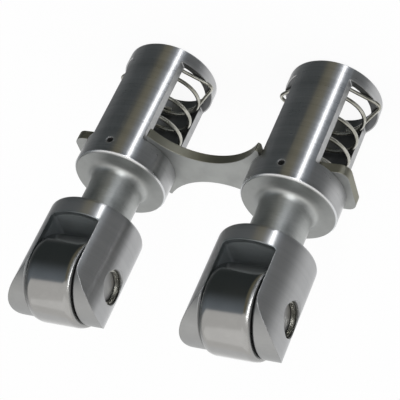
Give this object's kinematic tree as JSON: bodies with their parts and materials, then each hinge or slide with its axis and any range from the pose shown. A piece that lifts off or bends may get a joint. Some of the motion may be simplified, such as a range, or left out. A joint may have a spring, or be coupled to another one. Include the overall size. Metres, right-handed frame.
{
  "type": "solid roller lifter pair",
  "caption": "Pair of solid roller lifters held in line by a flat guide plate through their windowed barrels, each with a coil spring and a cam roller on needles.",
  "frame": {"origin": "middle of the footprint, on the plane of the barrels' open ends", "axes": "+Z along both barrels towards the rollers, +X from the left lifter to the right one, -Y the side of the oil holes"},
  "size_m": [0.0646, 0.0214, 0.0689],
  "materials": {
    "body_steel": "ground, with fine turning lines",
    "plate_steel": "matte, with darker cut edges",
    "roller_steel": "polished",
    "bearing_steel": "polished",
    "spring_steel": "drawn wire",
    "ring_steel": "dark, oiled",
    "seat_steel": "hardened, satin"
  },
  "bodies": {
    "plate": {"guide_plate": "plate_steel"},
    "left_lifter": {"left_body": "body_steel", "left_spring": "spring_steel", "left_spring_clip": "ring_steel", "left_pushrod_seat": "seat_steel", "left_axle": "bearing_steel", "left_axle_ring_outer": "ring_steel", "left_axle_ring_inner": "ring_steel"},
    "left_cam_roller": {"left_roller": "roller_steel"},
    "left_needle_set": {"left_needles": "bearing_steel"},
    "right_lifter": {"right_body": "body_steel", "right_spring": "spring_steel", "right_spring_clip": "ring_steel", "right_pushrod_seat": "seat_steel", "right_axle": "bearing_steel", "right_axle_ring_outer": "ring_steel", "right_axle_ring_inner": "ring_steel"},
    "right_cam_roller": {"right_roller": "roller_steel"},
    "right_needle_set": {"right_needles": "bearing_steel"}
  },
  "joints": [
    {"name": "left_slide", "type": "slide", "parent": "plate", "child": "left_lifter", "axis": [0, 0, 1], "range_m": [0, 0.012], "stiffness_N_per_m": 350, "springref_m": -0.008, "deforming": ["left_spring"]},
    {"name": "left_roller_spin", "type": "hinge", "parent": "left_lifter", "child": "left_cam_roller", "pos_m": [-0.02, 0, 0.05937], "axis": [0.9997, 0.0262, 0], "continuous": true},
    {"name": "left_needle_orbit", "type": "hinge", "parent": "left_lifter", "child": "left_needle_set", "pos_m": [-0.02, 0, 0.05937], "axis": [0.9997, 0.0262, 0], "continuous": true},
    {"name": "right_slide", "type": "slide", "parent": "plate", "child": "right_lifter", "axis": [0, 0, 1], "range_m": [0, 0.012], "stiffness_N_per_m": 350, "springref_m": -0.008, "deforming": ["right_spring"]},
    {"name": "right_roller_spin", "type": "hinge", "parent": "right_lifter", "child": "right_cam_roller", "pos_m": [0.02, 0, 0.05937], "axis": [0.9997, 0.0262, 0], "continuous": true},
    {"name": "right_needle_orbit", "type": "hinge", "parent": "right_lifter", "child": "right_needle_set", "pos_m": [0.02, 0, 0.05937], "axis": [0.9997, 0.0262, 0], "continuous": true}
  ],
  "couplings": [
    {"joint": "left_needle_orbit", "follows": "left_roller_spin", "ratio": 0.5894},
    {"joint": "right_needle_orbit", "follows": "right_roller_spin", "ratio": 0.5894}
  ]
}
